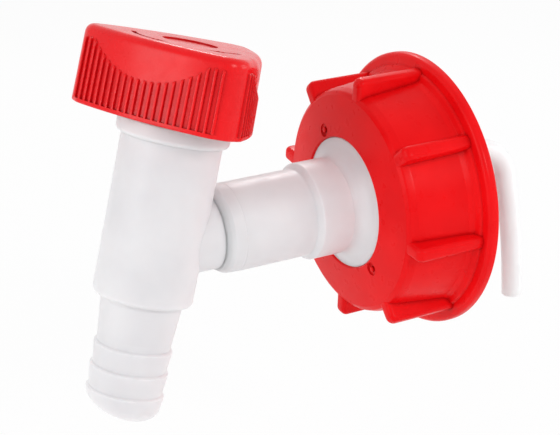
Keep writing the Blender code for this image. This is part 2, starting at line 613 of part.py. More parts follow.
def seal_ring(name, station, mat, turned):
    """A round rubber ring in one of the plug's grooves."""
    ring_radius = (BARREL_BORE_RADIUS + PLUG_RADIUS - 2 * SEAL_SECTION_RADIUS - RUNNING_GAP) / 2
    section = arc(station, ring_radius, SEAL_SECTION_RADIUS - 0.1, 0, 360, 8)[:-1]
    return place(name, lathe(section, steps=28), mat, turned)


def main():
    for obj in list(bpy.data.objects):
        bpy.data.objects.remove(obj)
    crossing = pivot("crossing", station=-NECK_SEAT)
    tilted = pivot("barrel_frame", lean=LEAN, parent=crossing)
    turned = pivot("knob_pivot", lean=LEAN, parent=crossing)
    nut_pivot = pivot("nut_pivot", parent=crossing)
    tube_pivot = pivot("tube_pivot", lift=VENT_HEIGHT, parent=crossing)
    tap_body(material("body_plastic", MILKY_WHITE, 0.42), tilted)
    inlet_adapter(material("adapter_plastic", MILKY_WHITE, 0.42), tilted)
    cap_nut(material("nut_plastic", SIGNAL_RED, 0.34), nut_pivot)
    neck_gasket(material("gasket_rubber", BLACK, 0.7))
    vent_tube(material("tube_plastic", CLEAR_WHITE, 0.35), tube_pivot)
    knob(material("knob_plastic", SIGNAL_RED, 0.34), turned)
    plug(material("plug_plastic", MILKY_WHITE, 0.45), turned)
    for i, station in enumerate(SEAL_STATIONS):
        seal_ring(f"plug_seal_{i + 1}", station, material(f"seal_rubber_{i + 1}", BLACK, 0.6), turned)


main()
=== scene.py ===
import json
import math

import bmesh
import bpy
from mathutils import Matrix, Vector


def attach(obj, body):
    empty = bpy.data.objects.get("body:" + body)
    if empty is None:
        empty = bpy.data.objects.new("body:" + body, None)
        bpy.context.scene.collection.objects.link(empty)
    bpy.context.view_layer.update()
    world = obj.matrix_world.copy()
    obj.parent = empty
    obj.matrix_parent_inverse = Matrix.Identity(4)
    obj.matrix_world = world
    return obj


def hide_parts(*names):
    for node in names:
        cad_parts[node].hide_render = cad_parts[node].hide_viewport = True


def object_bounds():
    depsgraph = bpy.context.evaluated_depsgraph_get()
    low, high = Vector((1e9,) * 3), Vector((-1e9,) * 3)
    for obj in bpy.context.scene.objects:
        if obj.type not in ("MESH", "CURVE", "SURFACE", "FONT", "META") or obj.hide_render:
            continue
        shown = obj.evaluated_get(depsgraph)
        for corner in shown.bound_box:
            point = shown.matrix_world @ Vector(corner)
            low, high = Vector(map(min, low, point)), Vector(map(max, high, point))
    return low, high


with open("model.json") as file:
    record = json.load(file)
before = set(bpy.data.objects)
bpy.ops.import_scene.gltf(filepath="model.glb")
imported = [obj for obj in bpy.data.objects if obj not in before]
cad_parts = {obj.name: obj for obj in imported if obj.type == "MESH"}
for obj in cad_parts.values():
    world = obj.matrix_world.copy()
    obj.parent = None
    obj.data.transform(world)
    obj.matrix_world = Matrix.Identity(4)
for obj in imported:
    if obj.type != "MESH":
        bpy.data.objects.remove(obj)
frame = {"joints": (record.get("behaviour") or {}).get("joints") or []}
cad_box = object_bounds()

# The camera: a long lens a little above the tap, at its front left, held slightly turned. Its place is
# given in millimetres from the point where the barrel's axis crosses the axis of pipe and nut.
MM = 0.001
joints = {joint["name"]: joint for joint in frame["joints"]}
crossing = Vector(joints["knob_turn"]["pos_m"])
camera_azimuth = math.radians(-28.358)
camera_elevation = math.radians(18.267)
camera_roll = math.radians(-2.468)
camera_distance = 409.9
aim_right = 34.86
aim_up = 6.96
back = Vector(
    (
        math.sin(camera_azimuth) * math.cos(camera_elevation),
        -math.cos(camera_azimuth) * math.cos(camera_elevation),
        math.sin(camera_elevation),
    )
)
level_right = (-back).cross(Vector((0.0, 0.0, 1.0))).normalized()
level_up = level_right.cross(-back)
view_right = level_right * math.cos(camera_roll) + level_up * math.sin(camera_roll)
view_up = level_up * math.cos(camera_roll) - level_right * math.sin(camera_roll)
camera_data = bpy.data.cameras.new("camera")
camera_data.sensor_width = 36.0
camera_data.lens = 96.43
camera = bpy.data.objects.new("camera", camera_data)
seat = crossing + (back * camera_distance + view_right * aim_right + view_up * aim_up) * MM
camera.matrix_world = Matrix.Translation(seat) @ Matrix((view_right, view_up, back)).transposed().to_4x4()
bpy.context.collection.objects.link(camera)
bpy.context.scene.camera = camera
bpy.context.scene.view_settings.view_transform = "Standard"


# The studio: a white room that is dimmer overhead and behind the camera, a key lamp in front, a broad
# lamp at each side and a small one behind, all in metres. The floor lies well below the tap, which
# hangs on its canister neck, and keeps the tap's soft shadow.
white_side = (0.30, 0.85, -0.42)
dim_colour = (0.66, 0.66, 0.67, 1.0)
room_strength = 0.8
floor_drop = 0.055
floor_radius = 6.0
floor_glow = 0.9


def light_rays(tree):
    """1 for the rays that see the background itself: the camera's, mirrored and refracted ones."""
    path = tree.nodes.new("ShaderNodeLightPath")
    total = path.outputs["Is Camera Ray"]
    for name in ("Is Glossy Ray", "Is Transmission Ray"):
        both = tree.nodes.new("ShaderNodeMath")
        both.operation = "MAXIMUM"
        tree.links.new(total, both.inputs[0])
        tree.links.new(path.outputs[name], both.inputs[1])
        total = both.outputs[0]
    return total


world = bpy.data.worlds.new("white_room")
bpy.context.scene.world = world
world.use_nodes = True
room = world.node_tree
sky = room.nodes["Background"]
direction = room.nodes.new("ShaderNodeTexCoord")
towards = room.nodes.new("ShaderNodeVectorMath")
towards.operation = "DOT_PRODUCT"
towards.inputs[1].default_value = white_side
room_ramp = room.nodes.new("ShaderNodeValToRGB")
room_ramp.color_ramp.elements[0].position = 0.0
room_ramp.color_ramp.elements[0].color = dim_colour
room_ramp.color_ramp.elements[1].position = 0.25
room_ramp.color_ramp.elements[1].color = (1.0, 1.0, 1.0, 1.0)
shift = room.nodes.new("ShaderNodeMapRange")
shift.inputs["From Min"].default_value = -0.7
shift.inputs["From Max"].default_value = 1.0
room.links.new(direction.outputs["Generated"], towards.inputs[0])
room.links.new(towards.outputs["Value"], shift.inputs["Value"])
room.links.new(shift.outputs[0], room_ramp.inputs[0])
room.links.new(room_ramp.outputs[0], sky.inputs["Color"])
strength = room.nodes.new("ShaderNodeMapRange")
strength.inputs["To Min"].default_value = room_strength
strength.inputs["To Max"].default_value = 1.0
room.links.new(light_rays(room), strength.inputs["Value"])
room.links.new(strength.outputs[0], sky.inputs["Strength"])


def soft_lamp(name, offset, size, power):
    """A square studio lamp at an offset from the crossing point, in metres, turned towards it."""
    lamp_data = bpy.data.lights.new(name, "AREA")
    lamp_data.shape = "SQUARE"
    lamp_data.size = size
    lamp_data.energy = power
    lamp = bpy.data.objects.new(name, lamp_data)
    lamp.location = crossing + Vector(offset)
    lamp.rotation_euler = Vector(offset).to_track_quat("Z", "Y").to_euler()
    bpy.context.collection.objects.link(lamp)


soft_lamp("key_lamp", (0.15, -0.85, 0.45), 0.2, 2.2)
soft_lamp("left_lamp", (-0.85, -0.15, 0.3), 0.5, 2.6)
soft_lamp("right_lamp", (0.85, -0.5, 0.2), 0.4, 1.8)
soft_lamp("back_lamp", (0.4, 0.65, 0.55), 0.12, 1.2)

floor_mesh = bpy.data.meshes.new("studio_floor")
floor_bm = bmesh.new()
bmesh.ops.create_circle(floor_bm, cap_ends=True, segments=64, radius=floor_radius)
bmesh.ops.translate(floor_bm, verts=floor_bm.verts, vec=(0.0, 0.0, cad_box[0][2] - floor_drop))
floor_bm.to_mesh(floor_mesh)
floor_bm.free()
floor = bpy.data.objects.new("studio_floor", floor_mesh)
bpy.context.collection.objects.link(floor)
floor_paint = bpy.data.materials.new("pale_floor")
floor_paint.use_nodes = True
paint = floor_paint.node_tree
matt = paint.nodes["Principled BSDF"]
matt.inputs["Base Color"].default_value = (0.9, 0.9, 0.9, 1.0)
matt.inputs["Roughness"].default_value = 1.0
matt.inputs["Specular IOR Level"].default_value = 0.0
bright = paint.nodes.new("ShaderNodeEmission")
bright.inputs["Strength"].default_value = 1.0
seen = paint.nodes.new("ShaderNodeMixShader")
share = paint.nodes.new("ShaderNodeMath")
share.operation = "MULTIPLY"
share.inputs[1].default_value = floor_glow
paint.links.new(light_rays(paint), share.inputs[0])
paint.links.new(share.outputs[0], seen.inputs["Fac"])
paint.links.new(matt.outputs[0], seen.inputs[1])
paint.links.new(bright.outputs[0], seen.inputs[2])
paint.links.new(seen.outputs[0], paint.nodes["Material Output"].inputs["Surface"])
floor_mesh.materials.append(floor_paint)


# Tap body: one moulding of milky plastic, with the barrel, its collar, a hose nozzle with three barbs,
# cut off aslant at its tip, and the side stub that the inlet pipe's sleeve sits on. From here on sizes
# are in millimetres from the crossing point, along the pipe or along the leaning barrel.
millimetres = Matrix.Diagonal((MM, MM, MM, 1.0))
along_pipe = Matrix.Translation(crossing) @ millimetres
barrel_axis = Vector(joints["knob_turn"]["axis"]).normalized()
lean = Vector((0.0, 0.0, 1.0)).rotation_difference(barrel_axis).to_matrix().to_4x4()
along_barrel = Matrix.Translation(crossing) @ lean @ millimetres
running_gap = 0.3
# A cutter passes the surface by the overcut, and a shape that is joined on sinks in by the weld.
overcut = 2.0
weld = 1.0
barrel_radius = 13.95
barrel_foot = -15.4
barrel_rounding = 1.3
barrel_bore = 10.2
bore_floor = -11.0
bore_chamfer = 0.6
collar_radius = 15.6
collar_low = 29.3
collar_top = 34.0
collar_rounding = 1.45
inner_rounding = 0.25
nozzle_bore = 7.6
nozzle_root = 11.35
nozzle_neck = 10.35
nozzle_shoulder = 1.2
barb_radius = 11.05
barb_first = -29.2
barb_pitch = 6.5
barb_count = 3
barb_face = 0.5
barb_blend = 2.6
barb_rounding = 0.22
tip_depth = -44.2
tip_radius = 9.85
tip_spare = 8.0
tip_slant = math.radians(19.5)
stub_radius = 10.7
stub_bore = 6.6
stub_root = 4.0
stub_end = 25.0
plug_head_low = 30.9
plug_head_radius = 12.6


def rounded(corners, steps=6, closed=False):
    """Points of a profile whose corners are rounded. A corner is (station, radius, rounding)."""
    points = []
    for i, (station, radius, size) in enumerate(corners):
        here = Vector((station, radius))
        at_end = not closed and i in (0, len(corners) - 1)
        if at_end or not size:
            points.append(here)
            continue
        before = (Vector(corners[i - 1][:2]) - here).normalized()
        after = (Vector(corners[(i + 1) % len(corners)][:2]) - here).normalized()
        half = before.angle(after) / 2.0
        centre = here + (before + after).normalized() * size / math.sin(half)
        reach = size / math.tan(half)
        start = here + before * reach - centre
        sweep = (here + after * reach - centre).angle_signed(start)
        for k in range(steps + 1):
            points.append(centre + Matrix.Rotation(sweep * k / steps, 2) @ start)
    return points


def revolve(points, axis="Z", steps=128, closed=False):
    """A bmesh turned from a profile of (station, radius) points about Z or X."""
    bm = bmesh.new()
    if axis == "Z":
        verts = [bm.verts.new((radius, 0.0, station)) for station, radius in points]
    else:
        verts = [bm.verts.new((station, 0.0, radius)) for station, radius in points]
    edges = [bm.edges.new(pair) for pair in zip(verts, verts[1:])]
    if closed:
        edges.append(bm.edges.new((verts[-1], verts[0])))
    about = Vector((0.0, 0.0, 1.0)) if axis == "Z" else Vector((1.0, 0.0, 0.0))
    turned = verts + edges
    bmesh.ops.spin(bm, geom=turned, cent=(0, 0, 0), axis=about, angle=math.tau, steps=steps, use_merge=True)
    bmesh.ops.remove_doubles(bm, verts=bm.verts, dist=0.0005)
    return bm


def rod(radius, start, end, axis="Z", steps=96, shift=(0.0, 0.0, 0.0)):
    """A capped cylinder from one station to another, moved by shift."""
    bm = revolve([(start, 0.0), (start, radius), (end, radius), (end, 0.0)], axis, steps)
    bmesh.ops.translate(bm, verts=bm.verts, vec=shift)
    return bm


def make_piece(name, bm, placing):
    """An object at the origin, with the shape's place in its mesh and its faces outwards."""
    bmesh.ops.transform(bm, matrix=placing, verts=bm.verts)
    bmesh.ops.recalc_face_normals(bm, faces=bm.faces)
    mesh = bpy.data.meshes.new(name)
    bm.to_mesh(mesh)
    bm.free()
    piece = bpy.data.objects.new(name, mesh)
    bpy.context.collection.objects.link(piece)
    return piece


def combine(piece, bm, placing, operation="DIFFERENCE"):
    """Cuts a shape out of a piece, or joins it on."""
    tool = make_piece("tool", bm, placing)
    modifier = piece.modifiers.new("combine", "BOOLEAN")
    modifier.operation = operation
    modifier.solver = "EXACT"
    modifier.object = tool
    bpy.context.view_layer.update()
    solid = piece.evaluated_get(bpy.context.evaluated_depsgraph_get())
    made = bpy.data.meshes.new_from_object(solid)
    piece.modifiers.clear()
    before = piece.data
    piece.data = made
    bpy.data.meshes.remove(before)
    made.name = piece.name
    bpy.data.meshes.remove(tool.data)


def finish(piece, body, node, material, crease=32.0):
    """Smooth shading with sharp creases, one material, the frame's body, and its CAD node hidden."""
    piece.data.materials.clear()
    piece.data.materials.append(material)
    piece.data.shade_smooth()
    piece.data.set_sharp_from_angle(angle=math.radians(crease))
    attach(piece, body)
    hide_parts(node)


def wire(tree, source, target):
    """Links one socket to another."""
    tree.links.new(source, target)


def noise(tree, scale, detail, roughness=0.5, stretch=(1.0, 1.0, 1.0)):
    """A noise in the piece's own coordinates. The scale is in waves a metre."""
    place = tree.nodes.new("ShaderNodeTexCoord")
    mapping = tree.nodes.new("ShaderNodeMapping")
    mapping.inputs["Scale"].default_value = stretch
    texture = tree.nodes.new("ShaderNodeTexNoise")
    texture.inputs["Scale"].default_value = scale
    texture.inputs["Detail"].default_value = detail
    texture.inputs["Roughness"].default_value = roughness
    wire(tree, place.outputs["Object"], mapping.inputs["Vector"])
    wire(tree, mapping.outputs[0], texture.inputs["Vector"])
    return texture.outputs["Fac"]


def spread(tree, value, low, high):
    """A noise value mapped to a range."""
    reach = tree.nodes.new("ShaderNodeMapRange")
    reach.inputs["From Min"].default_value = 0.3
    reach.inputs["From Max"].default_value = 0.7
    reach.inputs["To Min"].default_value = low
    reach.inputs["To Max"].default_value = high
    wire(tree, value, reach.inputs["Value"])
    return reach.outputs[0]


def two_tone(tree, value, deep, pale):
    """A colour that runs from deep to pale with a noise value."""
    ramp = tree.nodes.new("ShaderNodeValToRGB")
    ramp.color_ramp.elements[0].position = 0.32
    ramp.color_ramp.elements[0].color = (*deep, 1.0)
    ramp.color_ramp.elements[1].position = 0.68
    ramp.color_ramp.elements[1].color = (*pale, 1.0)
    wire(tree, value, ramp.inputs[0])
    return ramp.outputs[0]


def roughen(tree, shader, layers):
    """Bumps of the surface from noise values. A layer is (value, height in metres, strength)."""
    before = None
    for value, height, strength in layers:
        bump = tree.nodes.new("ShaderNodeBump")
        bump.inputs["Distance"].default_value = height
        bump.inputs["Strength"].default_value = strength
        wire(tree, value, bump.inputs["Height"])
        if before:
            wire(tree, before, bump.inputs["Normal"])
        before = bump.outputs[0]
    wire(tree, before, shader.inputs["Normal"])


def milky_plastic(name, deep, pale, glow, depth, roughness):
    """Unpigmented plastic: cloudy, a little see-through to light, with a fine moulded grain."""
    material = bpy.data.materials.new(name)
    material.use_nodes = True
    tree = material.node_tree
    shader = tree.nodes["Principled BSDF"]
    clouds = noise(tree, 55.0, 3.0)
    wire(tree, two_tone(tree, clouds, deep, pale), shader.inputs["Base Color"])
    worn = spread(tree, noise(tree, 240.0, 4.0), roughness - 0.05, roughness + 0.07)
    wire(tree, worn, shader.inputs["Roughness"])
    shader.inputs["IOR"].default_value = 1.5
    shader.inputs["Subsurface Weight"].default_value = glow
    shader.inputs["Subsurface Radius"].default_value = (1.0, 0.92, 0.9)
    shader.inputs["Subsurface Scale"].default_value = depth
    grain = noise(tree, 2600.0, 2.0)
    flow = noise(tree, 120.0, 2.0, 0.5, (1.0, 1.0, 0.35))
    roughen(tree, shader, [(flow, 0.0004, 0.1), (grain, 0.00002, 0.15)])
    return material


def nozzle_outline():
    """Corners of the body's outside from below the tip up to the collar's top."""
    low = tip_depth - tip_spare
    corners = [(low, 0.0, 0.0), (low, tip_radius, 0.0)]
    for barb in reversed(range(barb_count)):
        edge = barb_first - barb * barb_pitch
        corners += [(edge, barb_radius, barb_rounding), (edge + barb_face, nozzle_neck, 0.2)]
    corners += [(barb_first + barb_blend, nozzle_neck + 0.1, 1.0)]
    corners += [(barrel_foot - nozzle_shoulder, nozzle_root, 0.6)]
    corners += [(barrel_foot, nozzle_root + 0.3, inner_rounding)]
    corners += [(barrel_foot, barrel_radius, barrel_rounding)]
    corners += [(collar_low, barrel_radius, inner_rounding), (collar_low, collar_radius, collar_rounding)]
    corners += [(collar_top, collar_radius, 0.5), (collar_top, 0.0, 0.0)]
    return corners


body_bm = revolve(rounded(nozzle_outline()), steps=160)
slant_normal = Vector((0.0, -math.sin(tip_slant), math.cos(tip_slant)))
whole = body_bm.verts[:] + body_bm.edges[:] + body_bm.faces[:]
tip = bmesh.ops.bisect_plane(
    body_bm, geom=whole, plane_co=(0.0, 0.0, tip_depth), plane_no=slant_normal, clear_inner=True
)
tip_edges = [item for item in tip["geom_cut"] if isinstance(item, bmesh.types.BMEdge)]
bmesh.ops.edgeloop_fill(body_bm, edges=tip_edges)
tap_body = make_piece("tap_body_moulding", body_bm, along_barrel)
stub_corners = [(stub_root, 0.0, 0.0), (stub_root, stub_radius, 0.0)]
stub_corners += [(stub_end, stub_radius, 0.4), (stub_end, 0.0, 0.0)]
combine(tap_body, revolve(rounded(stub_corners), "X"), along_pipe, "UNION")
ledge = plug_head_low - running_gap
counterbore = plug_head_radius + running_gap
bore_low = tip_depth - tip_spare - overcut
bore_points = [(bore_low, 0.0), (bore_low, nozzle_bore), (bore_floor, nozzle_bore)]
bore_points += [(bore_floor, barrel_bore), (ledge - bore_chamfer, barrel_bore)]
bore_points += [(ledge, barrel_bore + bore_chamfer), (ledge, counterbore)]
bore_points += [(collar_top + overcut, counterbore), (collar_top + overcut, 0.0)]
combine(tap_body, revolve(bore_points, steps=120), along_barrel)
combine(tap_body, rod(stub_bore, 0.0, stub_end + overcut, "X"), along_pipe)
milk_deep = (0.73, 0.72, 0.735)
milk_pale = (0.79, 0.78, 0.79)
body_white = milky_plastic("body_white", milk_deep, milk_pale, 0.8, 0.003, 0.38)
finish(tap_body, "tap", "tap_body", body_white)


# Inlet adapter: the pipe between barrel and nut, one moulding of the same milky plastic. Its sleeve
# sits on the body's stub, and a ring collar and a flare lead to the flange that the nut clamps.
sleeve_start = 17.2
sleeve_edge = 12.4
sleeve_lip = -0.02
sleeve_lip_length = 1.2
sleeve_taper = 5.3
seam_depth = 0.1
pipe_radius = 12.7
pipe_bore = 9.8
ring_radius = 14.1
ring_start = 45.0
ring_end = 56.2
ring_slope = 1.7
flare_root = 0.5
nut_front = 60.7
nut_web = 3.4
nut_hole = 19.3
clamp_radius = 28.2
clamp_thickness = 3.4
spigot_radius = 21.5
spigot_length = 7.0
spigot_wall = 2.2
vent_radius = 3.15
vent_wall = 1.0
vent_height = joints["tube_turn"]["pos_m"][2] / MM
duct_wall = 1.1
duct_setback = 4.0
duct_lip = 1.5
socket_depth = 9.0
clamp_face = nut_front + nut_web + running_gap
clamp_back = clamp_face + clamp_thickness
spigot_end = clamp_back + spigot_length
sleeve_bore = stub_radius + running_gap
flare_mouth = nut_hole - 0.1

pipe_start = sleeve_start + sleeve_taper
adapter_corners = [(sleeve_start + sleeve_lip_length, sleeve_bore, 0.0)]
adapter_corners += [(sleeve_start, stub_radius + sleeve_lip, 0.0)]
adapter_corners += [(sleeve_start + 0.45, sleeve_bore + 0.2, 0.3)]
adapter_corners += [(sleeve_start + 1.4, sleeve_bore + 0.85, 0.9), (sleeve_start + 2.4, sleeve_edge, 0.8)]
adapter_corners += [(pipe_start, pipe_radius - 0.02, 1.2)]
adapter_corners += [(pipe_start + 0.3, pipe_radius - seam_depth, 0.1), (pipe_start + 0.6, pipe_radius, 0.1)]
adapter_corners += [(ring_start, pipe_radius, 0.9), (ring_start + ring_slope, ring_radius, 1.0)]
adapter_corners += [(ring_end, ring_radius, 0.35)]
adapter_points = rounded(adapter_corners + [(ring_end + 0.3, ring_radius - 0.6, 0.0)])
flare_reach = nut_front - ring_end
flare_rise = flare_mouth - ring_radius + flare_root
for i in range(1, 13):
    turn = math.radians(90.0 * i / 12)
    flare_radius = ring_radius - flare_root + flare_rise * (1.0 - math.cos(turn))
    adapter_points.append(Vector((ring_end + 0.45 + flare_reach * math.sin(turn), flare_radius)))
clamp_corners = [(clamp_face, flare_mouth, 0.0), (clamp_face, clamp_radius, 0.4)]
clamp_corners += [(clamp_back, clamp_radius, 0.4), (clamp_back, spigot_radius, 0.3)]
clamp_corners += [(spigot_end, spigot_radius, 0.8), (spigot_end, spigot_radius - spigot_wall, 0.3)]
clamp_corners += [(clamp_back, spigot_radius - spigot_wall, 0.4), (clamp_back, pipe_bore, 0.5)]
sleeve_floor = stub_end + running_gap
clamp_corners += [(sleeve_floor + 1.5, pipe_bore, 0.0), (sleeve_floor, pipe_bore + 0.4, 0.0)]
clamp_corners += [(sleeve_floor, sleeve_bore, 0.0)]
adapter_bm = revolve(adapter_points + rounded(clamp_corners), "X", steps=160, closed=True)
adapter = make_piece("inlet_pipe_moulding", adapter_bm, along_pipe)
combine(adapter, rod(barrel_radius + running_gap, barrel_foot, collar_low), along_barrel)
lift = (0.0, 0.0, vent_height)
duct_end = spigot_end + duct_lip
socket_radius = vent_radius + running_gap
duct = rod(socket_radius + duct_wall, stub_end + duct_setback, duct_end, "X", 48, lift)
combine(adapter, duct, along_pipe, "UNION")
combine(adapter, rod(vent_radius - vent_wall, stub_end, spigot_end, "X", 40, lift), along_pipe)
socket_start = duct_end - socket_depth
combine(adapter, rod(socket_radius, socket_start, duct_end + overcut, "X", 48, lift), along_pipe)
pipe_white = milky_plastic("pipe_white", milk_deep, milk_pale, 0.8, 0.003, 0.38)
finish(adapter, "tap", "inlet_adapter", pipe_white)


# Cap nut: red moulded plastic, with a flat face, a round shoulder, eight grip wings and a wide rear
# flange. It turns freely on the adapter and screws on the canister's neck with its inside thread.
nut_back = 86.9
face_slope = 1.5
edge_radius = 31.4
shoulder_radius = 33.3
shoulder_length = 4.4
root_radius = 35.0
flange_radius = 40.8
flange_thickness = 3.3
flange_rounding = 1.5
cavity_radius = 31.1
thread_setback = 8.0
thread_height = 1.45
thread_root_width = 2.5
thread_crest_width = 0.8
thread_sink = 0.35
thread_pitch = 4.5
thread_turns = 2.5
thread_steps = 96
wing_count = 8
wing_crown = 38.2
wing_phase = 10.0
wing_top_width = 4.0
wing_root_width = 4.6
wing_foot = 28.5
wing_nose = 62.35
wing_brow = 2.2
wing_rounding = 1.3
gate_radius = 22.0
gate_angles = (64.0, 228.0)
gate_depth = 0.9
dish_mouth = 2.4
dish_floor = 1.8
pip_radius = 0.9
pip_height = 0.7
flange_face = nut_back - flange_thickness


def nearness(tree, reach, inside):
    """How open a spot is within a reach in metres: lower in corners or, from inside, on edges."""
    around = tree.nodes.new("ShaderNodeAmbientOcclusion")
    around.samples = 12
    around.inside = inside
    around.only_local = True
    around.inputs["Distance"].default_value = reach
    return around.outputs["AO"]


def red_plastic(name, deep, pale, roughness, shine):
    """Red moulded plastic: satin, faintly cloudy, with painted shade darkening its corners and a painted
    highlight lightening its edges.
    """
    material = bpy.data.materials.new(name)
    material.use_nodes = True
    tree = material.node_tree
    shader = tree.nodes["Principled BSDF"]
    cloudy = two_tone(tree, noise(tree, 70.0, 3.0), deep, pale)
    # Painted shade: the colour is darkened where the surface lies in corners and creases.
    painted_shade = tree.nodes.new("ShaderNodeMapRange")
    painted_shade.inputs["From Min"].default_value = 0.35
    painted_shade.inputs["From Max"].default_value = 0.9
    painted_shade.inputs["To Min"].default_value = 0.55
    painted_shade.inputs["To Max"].default_value = 1.0
    wire(tree, nearness(tree, 0.0018, False), painted_shade.inputs["Value"])
    shaded_colour = tree.nodes.new("ShaderNodeVectorMath")
    shaded_colour.operation = "SCALE"
    wire(tree, cloudy, shaded_colour.inputs[0])
    wire(tree, painted_shade.outputs[0], shaded_colour.inputs["Scale"])
    # Painted highlight: the colour is lightened towards pale red on the outer edges.
    painted_highlight = tree.nodes.new("ShaderNodeMapRange")
    painted_highlight.inputs["From Min"].default_value = 0.62
    painted_highlight.inputs["From Max"].default_value = 0.25
    painted_highlight.inputs["To Min"].default_value = 0.0
    painted_highlight.inputs["To Max"].default_value = 0.55
    wire(tree, nearness(tree, 0.0007, True), painted_highlight.inputs["Value"])
    highlighted_colour = tree.nodes.new("ShaderNodeMix")
    highlighted_colour.data_type = "RGBA"
    highlighted_colour.inputs["B"].default_value = (0.92, 0.13, 0.10, 1.0)
    wire(tree, painted_highlight.outputs[0], highlighted_colour.inputs["Factor"])
    wire(tree, shaded_colour.outputs[0], highlighted_colour.inputs["A"])
    wire(tree, highlighted_colour.outputs["Result"], shader.inputs["Base Color"])
    worn = spread(tree, noise(tree, 300.0, 4.0), roughness - 0.05, roughness + 0.08)
    wire(tree, worn, shader.inputs["Roughness"])
    shader.inputs["IOR"].default_value = 1.5
    shader.inputs["Specular IOR Level"].default_value = shine
    grain = noise(tree, 1100.0, 1.0)
    flow = noise(tree, 120.0, 1.0)
    roughen(tree, shader, [(flow, 0.0004, 0.08), (grain, 0.00002, 0.1)])
    return material


def eased(bm, edges, size, segments):
    """Rounds edges off."""
    bmesh.ops.bevel(
        bm,
        geom=edges,
        offset=size,
        offset_type="OFFSET",
        segments=segments,
        profile=0.5,
        affect="EDGES",
        material=-1,
    )


def grip_wing(angle):
    """A tapered bar along the nut, with a blunt round nose and soft upper edges."""
    bm = bmesh.new()
    length = flange_face + weld - wing_nose
    height = wing_crown - wing_foot
    bmesh.ops.create_cube(bm, size=1.0, matrix=Matrix.Diagonal((length, wing_root_width, height, 1.0)))
    bmesh.ops.translate(bm, verts=bm.verts, vec=(wing_nose + length / 2, 0.0, wing_foot + height / 2))
    for vert in bm.verts:
        if vert.co.z > wing_foot + height / 2:
            vert.co.y *= wing_top_width / wing_root_width
    brow = [edge for edge in bm.edges if all(vert.co.z > wing_crown - 0.01 for vert in edge.verts)]
    brow = [edge for edge in brow if all(vert.co.x < wing_nose + 0.01 for vert in edge.verts)]
    eased(bm, brow, wing_brow, 7)
    sides = [edge for edge in bm.edges if edge.verts[0].co.y * edge.verts[1].co.y > 0.0]
    sides = [edge for edge in sides if max(vert.co.z for vert in edge.verts) > wing_foot + 0.01]
    sides = [edge for edge in sides if min(vert.co.x for vert in edge.verts) < flange_face]
    eased(bm, sides, wing_rounding, 6)
    turn = Matrix.Rotation(math.radians(angle - 90.0), 3, "X")
    bmesh.ops.rotate(bm, verts=bm.verts, cent=(0, 0, 0), matrix=turn)
    return bm


def joined(shapes):
    """Several separate shapes as one bmesh."""
    bm = bmesh.new()
    for shape in shapes:
        mesh = bpy.data.meshes.new("shape")
        shape.to_mesh(mesh)
        shape.free()
        bm.from_mesh(mesh)
        bpy.data.meshes.remove(mesh)
    return bm


def thread_ridge():
    """The inside thread: a trapezoid section wound along the cavity."""
    bm = bmesh.new()
    root = cavity_radius + thread_sink
    crest = cavity_radius - thread_height
    half_root = thread_root_width / 2
    half_crest = thread_crest_width / 2
    section = [(-half_root, root), (-half_crest, crest), (half_crest, crest), (half_root, root)]
    start = nut_front + nut_web + thread_setback
    verts = [bm.verts.new((start + along, 0.0, radius)) for along, radius in section]
    section_face = bm.faces.new(verts)
    bmesh.ops.spin(
        bm,
        geom=[section_face],
        cent=(0, 0, 0),
        axis=(1, 0, 0),
        dvec=(thread_pitch / thread_steps, 0, 0),
        angle=math.tau * thread_turns,
        steps=int(thread_turns * thread_steps),
    )
    return bm


face_edge = nut_front + face_slope
nut_corners = [(nut_front + 0.5, nut_hole, 0.1), (nut_front, nut_hole + 0.4, 0.1)]
nut_corners += [(face_edge, edge_radius, 0.3), (face_edge + 0.75, edge_radius + 1.2, 1.1)]
nut_corners += [(nut_front + shoulder_length, shoulder_radius, 2.5)]
nut_corners += [(flange_face - 3.0, root_radius, 0.9), (flange_face - 1.3, root_radius + 0.55, 0.5)]
nut_corners += [(flange_face - 0.7, root_radius + 2.05, 0.2), (flange_face, root_radius + 2.4, 0.08)]
nut_corners += [(flange_face, flange_radius, flange_rounding), (nut_back, flange_radius, 0.6)]
nut_corners += [(nut_back, nut_hole, 0.0)]
nut_bm = revolve(rounded(nut_corners, closed=True), "X", 224, closed=True)
nut = make_piece("cap_nut_moulding", nut_bm, along_pipe)
wings = joined([grip_wing(wing_phase + 360.0 * i / wing_count) for i in range(wing_count)])
combine(nut, wings, along_pipe, "UNION")
cavity_corners = [(nut_front + nut_web, 0.0, 0.0), (nut_front + nut_web, cavity_radius, 0.8)]
cavity_corners += [(nut_back - 0.9, cavity_radius, 0.4), (nut_back + 0.1, cavity_radius + 1.0, 0.0)]
cavity_corners += [(nut_back + overcut, cavity_radius + 1.0, 0.0), (nut_back + overcut, 0.0, 0.0)]
combine(nut, revolve(rounded(cavity_corners), "X", 200), along_pipe)
combine(nut, thread_ridge(), along_pipe, "UNION")
dishes = []
pips = []
for gate_angle in gate_angles:
    turn = math.radians(gate_angle)
    spot = (0.0, gate_radius * math.cos(turn), gate_radius * math.sin(turn))
    bottom = nut_front + gate_depth
    dish_corners = [(nut_front - 1.0, 0.0, 0.0), (nut_front - 1.0, dish_mouth, 0.0)]
    dish_corners += [(bottom, dish_floor, 0.3), (bottom, 0.0, 0.0)]
    dish = revolve(rounded(dish_corners), "X", 32)
    bmesh.ops.translate(dish, verts=dish.verts, vec=spot)
    dishes.append(dish)
    pip_top = bottom - pip_height
    pip_corners = [(bottom + 0.7, 0.0, 0.0), (bottom + 0.7, pip_radius, 0.0)]
    pip_corners += [(pip_top - 0.05, pip_radius - 0.1, 0.3), (pip_top, 0.0, 0.0)]
    pip = revolve(rounded(pip_corners), "X", 24)
    bmesh.ops.translate(pip, verts=pip.verts, vec=spot)
    pips.append(pip)
combine(nut, joined(dishes), along_pipe)
combine(nut, joined(pips), along_pipe, "UNION")
nut_red = red_plastic("nut_red", (0.77, 0.003, 0.005), (0.85, 0.005, 0.007), 0.3, 0.1)
finish(nut, "nut", "cap_nut", nut_red)


